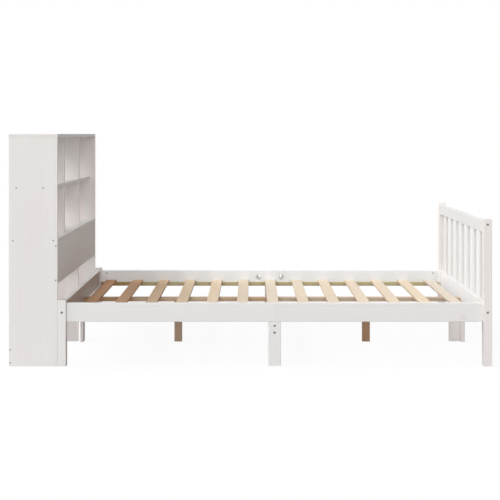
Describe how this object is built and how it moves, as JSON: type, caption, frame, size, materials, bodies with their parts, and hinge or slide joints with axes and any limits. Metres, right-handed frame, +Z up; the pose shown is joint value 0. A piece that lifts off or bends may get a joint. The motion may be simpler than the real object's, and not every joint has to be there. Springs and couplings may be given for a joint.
{
  "type": "bookcase headboard bed",
  "caption": "Pine bed frame with a bookcase of open cubbyholes as its headboard, a slatted footboard and a slatted base between side rails.",
  "frame": {"origin": "on the floor, under the middle of the whole piece", "axes": "+X along the bed from the bookcase to the foot, +Y across it to the right as seen from the foot, +Z up"},
  "size_m": [2.297, 1.262, 1.104],
  "materials": {
    "white_pine": "satin white finish over knotty pine",
    "natural_pine": "planed and unfinished",
    "beech": "turned and fluted, unfinished",
    "zinc_steel": "zinc plated"
  },
  "bodies": {
    "root": {"barrel_nuts": "zinc_steel", "beam_legs": "natural_pine", "bed_slat_01": "natural_pine", "bed_slat_02": "natural_pine", "bed_slat_03": "natural_pine", "bed_slat_04": "natural_pine", "bed_slat_05": "natural_pine", "bed_slat_06": "natural_pine", "bed_slat_07": "natural_pine", "bed_slat_08": "natural_pine", "bed_slat_09": "natural_pine", "bed_slat_10": "natural_pine", "bed_slat_11": "natural_pine", "bed_slat_12": "natural_pine", "bed_slat_13": "natural_pine", "bookcase_centre_panel": "white_pine", "bookcase_front_panel": "white_pine", "bookcase_left_side": "white_pine", "bookcase_lower_shelf": "white_pine", "bookcase_middle_shelf": "white_pine", "bookcase_rear_rail": "white_pine", "bookcase_right_side": "white_pine", "bookcase_top": "white_pine", "centre_beam_foot": "natural_pine", "centre_beam_head": "natural_pine", "connector_rods": "zinc_steel", "dowels": "beech", "foot_bottom_rail": "white_pine", "foot_centre_leg": "white_pine", "foot_left_post": "white_pine", "foot_leg_web": "white_pine", "foot_right_post": "white_pine", "foot_top_rail": "white_pine", "footboard_slat_1": "white_pine", "footboard_slat_2": "white_pine", "footboard_slat_3": "white_pine", "footboard_slat_4": "white_pine", "footboard_slat_5": "white_pine", "footboard_slat_6": "white_pine", "footboard_slat_7": "white_pine", "frame_bolts": "zinc_steel", "half_moon_nuts": "zinc_steel", "head_centre_leg": "white_pine", "head_left_post": "white_pine", "head_rail": "white_pine", "head_right_post": "white_pine", "left_side_rail_foot": "white_pine", "left_side_rail_head": "white_pine", "long_screws": "zinc_steel", "lower_left_divider": "white_pine", "lower_right_divider": "white_pine", "middle_cross_beam": "natural_pine", "middle_left_leg": "white_pine", "middle_right_leg": "white_pine", "right_side_rail_foot": "white_pine", "right_side_rail_head": "white_pine", "short_screws": "zinc_steel", "slat_cleats": "natural_pine", "upper_left_divider": "white_pine", "upper_right_divider": "white_pine"}
  },
  "joints": []
}
